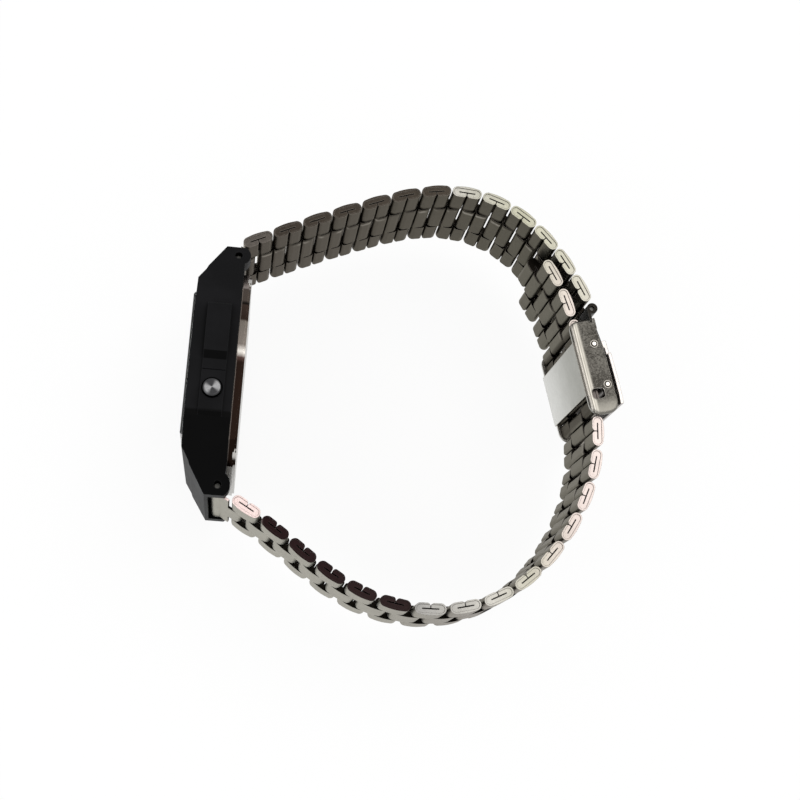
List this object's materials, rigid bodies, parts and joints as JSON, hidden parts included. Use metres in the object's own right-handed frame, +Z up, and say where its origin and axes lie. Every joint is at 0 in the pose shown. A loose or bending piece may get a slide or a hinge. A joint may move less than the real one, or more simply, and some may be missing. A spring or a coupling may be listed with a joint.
{
  "type": "digital wristwatch",
  "caption": "Wristwatch with a rectangular resin case, domed push buttons, a steel back and a folded-link steel bracelet closed by a sliding lock clasp.",
  "frame": {"origin": "middle of the flat pad on the nine o'clock side, on which the watch stands", "axes": "+Z up, from the nine o'clock side to the three o'clock side; +Y towards twelve o'clock; +X from the face to the wrist, through the loop of the bracelet"},
  "size_m": [0.0639, 0.0652, 0.0332],
  "materials": {
    "case_resin": "satin",
    "crystal": "polished",
    "face": "printed",
    "display": "satin",
    "light_guide": "clear moulded",
    "frame_resin": "moulded",
    "zebra_rubber": "plain",
    "board": "lacquered",
    "plated_can": "plated",
    "cell_steel": "plain",
    "spring_steel": "plain",
    "contact_metal": "plain",
    "buzzer_brass": "plain",
    "back_steel": "brushed",
    "seal_rubber": "plain",
    "screw_steel": "turned",
    "pin_steel": "drawn",
    "button_metal": "polished",
    "clasp_steel": "brushed",
    "link_steel": "polished"
  },
  "bodies": {
    "case": {"case_body": "case_resin", "crystal": "crystal", "face_plate": "face", "lcd_panel": "display", "light_guide": "light_guide", "module_frame": "frame_resin", "zebra_strips": "zebra_rubber", "circuit_board": "board", "quartz_can": "plated_can", "battery": "cell_steel", "battery_clip": "spring_steel", "contact_springs": "contact_metal", "buzzer_disc": "buzzer_brass", "buzzer_spring": "spring_steel", "case_back": "back_steel", "back_gasket": "seal_rubber", "back_screws": "screw_steel", "spring_bars": "pin_steel", "button_seals": "seal_rubber"},
    "alarm_button": {"alarm_button": "button_metal"},
    "light_button": {"light_button": "button_metal"},
    "mode_button": {"mode_button": "button_metal"},
    "strap_end_12h": {"strap_end_12h": "link_steel"},
    "link_12h_01": {"link_12h_01": "link_steel"},
    "link_12h_02": {"link_12h_02": "link_steel"},
    "link_12h_03": {"link_12h_03": "link_steel"},
    "link_12h_04": {"link_12h_04": "link_steel"},
    "link_12h_05": {"link_12h_05": "link_steel"},
    "link_12h_06": {"link_12h_06": "link_steel"},
    "link_12h_07": {"link_12h_07": "link_steel"},
    "link_12h_08": {"link_12h_08": "link_steel"},
    "link_12h_09": {"link_12h_09": "link_steel"},
    "link_12h_10": {"link_12h_10": "link_steel"},
    "link_12h_11": {"link_12h_11": "link_steel"},
    "link_12h_12": {"link_12h_12": "link_steel"},
    "link_12h_13": {"link_12h_13": "link_steel"},
    "clasp": {"clasp_box": "clasp_steel", "clasp_pins": "pin_steel", "clasp_spring_bar": "pin_steel", "links_in_clasp": "link_steel"},
    "cover": {"clasp_cover": "clasp_steel"},
    "lock_plate": {"lock_plate": "clasp_steel"},
    "tail_link_1": {"tail_link_1": "link_steel"},
    "tail_link_2": {"tail_link_2": "link_steel"},
    "strap_end_6h": {"strap_end_6h": "link_steel"},
    "link_6h_01": {"link_6h_01": "link_steel"},
    "link_6h_02": {"link_6h_02": "link_steel"},
    "link_6h_03": {"link_6h_03": "link_steel"},
    "link_6h_04": {"link_6h_04": "link_steel"},
    "link_6h_05": {"link_6h_05": "link_steel"},
    "link_6h_06": {"link_6h_06": "link_steel"},
    "link_6h_07": {"link_6h_07": "link_steel"},
    "link_6h_08": {"link_6h_08": "link_steel"},
    "link_6h_09": {"link_6h_09": "link_steel"},
    "link_6h_10": {"link_6h_10": "link_steel"},
    "link_6h_11": {"link_6h_11": "link_steel"},
    "link_6h_12": {"link_6h_12": "link_steel"},
    "link_6h_13": {"link_6h_13": "link_steel"},
    "link_6h_14": {"link_6h_14": "link_steel"},
    "link_6h_15": {"link_6h_15": "link_steel"}
  },
  "joints": [
    {"name": "alarm_button_press", "type": "slide", "parent": "case", "child": "alarm_button", "axis": [0, 0, -1], "range_m": [0, 0.0005], "stiffness_N_per_m": 600, "springref_m": -0.0004},
    {"name": "light_button_press", "type": "slide", "parent": "case", "child": "light_button", "axis": [0, 0, 1], "range_m": [0, 0.0005], "stiffness_N_per_m": 600, "springref_m": -0.0004},
    {"name": "mode_button_press", "type": "slide", "parent": "case", "child": "mode_button", "axis": [0, 0, 1], "range_m": [0, 0.0005], "stiffness_N_per_m": 600, "springref_m": -0.0004},
    {"name": "strap_end_12h_swing", "type": "hinge", "parent": "case", "child": "strap_end_12h", "pos_m": [0.0019, 0.01695, 0.0166], "axis": [0, 0, 1], "range_deg": [0, 30]},
    {"name": "link_12h_01_swing", "type": "hinge", "parent": "strap_end_12h", "child": "link_12h_01", "pos_m": [0.00336, 0.02024, 0.0166], "axis": [0, 0, 1], "range_deg": [0, 45]},
    {"name": "link_12h_02_swing", "type": "hinge", "parent": "link_12h_01", "child": "link_12h_02", "pos_m": [0.00761, 0.02229, 0.0166], "axis": [0, 0, 1], "range_deg": [0, 5.3]},
    {"name": "link_12h_03_swing", "type": "hinge", "parent": "link_12h_02", "child": "link_12h_03", "pos_m": [0.01188, 0.0243, 0.0166], "axis": [0, 0, 1], "range_deg": [0, 5.3]},
    {"name": "link_12h_04_swing", "type": "hinge", "parent": "link_12h_03", "child": "link_12h_04", "pos_m": [0.01618, 0.02625, 0.0166], "axis": [0, 0, 1], "range_deg": [0, 5.8]},
    {"name": "link_12h_05_swing", "type": "hinge", "parent": "link_12h_04", "child": "link_12h_05", "pos_m": [0.02053, 0.02808, 0.0166], "axis": [0, 0, 1], "range_deg": [0, 5.3]},
    {"name": "link_12h_06_swing", "type": "hinge", "parent": "link_12h_05", "child": "link_12h_06", "pos_m": [0.02492, 0.0298, 0.0166], "axis": [0, 0, 1], "range_deg": [0, 7.1]},
    {"name": "link_12h_07_swing", "type": "hinge", "parent": "link_12h_06", "child": "link_12h_07", "pos_m": [0.02944, 0.03112, 0.0166], "axis": [0, 0, 1], "range_deg": [0, 9.1]},
    {"name": "link_12h_08_swing", "type": "hinge", "parent": "link_12h_07", "child": "link_12h_08", "pos_m": [0.03412, 0.03167, 0.0166], "axis": [0, 0, 1], "range_deg": [0, 11.8]},
    {"name": "link_12h_09_swing", "type": "hinge", "parent": "link_12h_08", "child": "link_12h_09", "pos_m": [0.03879, 0.03109, 0.0166], "axis": [0, 0, 1], "range_deg": [0, 12.3]},
    {"name": "link_12h_10_swing", "type": "hinge", "parent": "link_12h_09", "child": "link_12h_10", "pos_m": [0.04316, 0.02932, 0.0166], "axis": [0, 0, 1], "range_deg": [0, 12.8]},
    {"name": "link_12h_11_swing", "type": "hinge", "parent": "link_12h_10", "child": "link_12h_11", "pos_m": [0.04693, 0.02651, 0.0166], "axis": [0, 0, 1], "range_deg": [0, 10.8]},
    {"name": "link_12h_12_swing", "type": "hinge", "parent": "link_12h_11", "child": "link_12h_12", "pos_m": [0.05011, 0.02303, 0.0166], "axis": [0, 0, 1], "range_deg": [0, 9.3]},
    {"name": "link_12h_13_swing", "type": "hinge", "parent": "link_12h_12", "child": "link_12h_13", "pos_m": [0.05279, 0.01914, 0.0166], "axis": [0, 0, 1], "range_deg": [0, 7.8]},
    {"name": "clasp_swing", "type": "hinge", "parent": "link_12h_13", "child": "clasp", "pos_m": [0.05517, 0.01507, 0.0166], "axis": [0, 0, 1], "range_deg": [0, 19.3]},
    {"name": "cover_swing", "type": "hinge", "parent": "clasp", "child": "cover", "pos_m": [0.05535, 0.00919, 0.0166], "axis": [0, 0, 1], "range_deg": [0, 90]},
    {"name": "lock_plate_swing", "type": "hinge", "parent": "clasp", "child": "lock_plate", "pos_m": [0.05754, 0.00316, 0.0166], "axis": [0, 0, -1], "range_deg": [0, 16]},
    {"name": "tail_link_1_swing", "type": "hinge", "parent": "clasp", "child": "tail_link_1", "pos_m": [0.05173, 0.01442, 0.0166], "axis": [0, 0, 1], "range_deg": [0, 20]},
    {"name": "tail_link_2_swing", "type": "hinge", "parent": "tail_link_1", "child": "tail_link_2", "pos_m": [0.04964, 0.019, 0.0166], "axis": [0, 0, 1], "range_deg": [0, 20]},
    {"name": "strap_end_6h_swing", "type": "hinge", "parent": "case", "child": "strap_end_6h", "pos_m": [0.0019, -0.01695, 0.0166], "axis": [0, 0, -1], "range_deg": [0, 60]},
    {"name": "link_6h_01_swing", "type": "hinge", "parent": "strap_end_6h", "child": "link_6h_01", "pos_m": [0.00508, -0.01864, 0.0166], "axis": [0, 0, -1], "range_deg": [0, 3]},
    {"name": "link_6h_02_swing", "type": "hinge", "parent": "link_6h_01", "child": "link_6h_02", "pos_m": [0.0094, -0.02124, 0.0166], "axis": [0, 0, -1], "range_deg": [0, 3]},
    {"name": "link_6h_03_swing", "type": "hinge", "parent": "link_6h_02", "child": "link_6h_03", "pos_m": [0.01355, -0.02409, 0.0166], "axis": [0, 0, -1], "range_deg": [0, 3]},
    {"name": "link_6h_04_swing", "type": "hinge", "parent": "link_6h_03", "child": "link_6h_04", "pos_m": [0.0177, -0.02697, 0.0166], "axis": [0, 0, -1], "range_deg": [0, 5.5]},
    {"name": "link_6h_05_swing", "type": "hinge", "parent": "link_6h_04", "child": "link_6h_05", "pos_m": [0.02211, -0.02939, 0.0166], "axis": [0, 0, -1], "range_deg": [0, 7.5]},
    {"name": "link_6h_06_swing", "type": "hinge", "parent": "link_6h_05", "child": "link_6h_06", "pos_m": [0.02687, -0.03103, 0.0166], "axis": [0, 0, -1], "range_deg": [0, 9]},
    {"name": "link_6h_07_swing", "type": "hinge", "parent": "link_6h_06", "child": "link_6h_07", "pos_m": [0.03187, -0.03166, 0.0166], "axis": [0, 0, -1], "range_deg": [0, 8.5]},
    {"name": "link_6h_08_swing", "type": "hinge", "parent": "link_6h_07", "child": "link_6h_08", "pos_m": [0.03689, -0.03129, 0.0166], "axis": [0, 0, -1], "range_deg": [0, 9.5]},
    {"name": "link_6h_09_swing", "type": "hinge", "parent": "link_6h_08", "child": "link_6h_09", "pos_m": [0.04169, -0.02978, 0.0166], "axis": [0, 0, -1], "range_deg": [0, 10]},
    {"name": "link_6h_10_swing", "type": "hinge", "parent": "link_6h_09", "child": "link_6h_10", "pos_m": [0.04598, -0.02715, 0.0166], "axis": [0, 0, -1], "range_deg": [0, 10]},
    {"name": "link_6h_11_swing", "type": "hinge", "parent": "link_6h_10", "child": "link_6h_11", "pos_m": [0.04956, -0.0236, 0.0166], "axis": [0, 0, -1], "range_deg": [0, 8.5]},
    {"name": "link_6h_12_swing", "type": "hinge", "parent": "link_6h_11", "child": "link_6h_12", "pos_m": [0.05243, -0.01946, 0.0166], "axis": [0, 0, -1], "range_deg": [0, 7.5]},
    {"name": "link_6h_13_swing", "type": "hinge", "parent": "link_6h_12", "child": "link_6h_13", "pos_m": [0.05462, -0.01492, 0.0166], "axis": [0, 0, -1], "range_deg": [0, 7.5]},
    {"name": "link_6h_14_swing", "type": "hinge", "parent": "link_6h_13", "child": "link_6h_14", "pos_m": [0.05605, -0.01009, 0.0166], "axis": [0, 0, -1], "range_deg": [0, 8]},
    {"name": "link_6h_15_swing", "type": "hinge", "parent": "link_6h_14", "child": "link_6h_15", "pos_m": [0.05658, -0.00509, 0.0166], "axis": [0, 0, -1], "range_deg": [0, 9]}
  ]
}
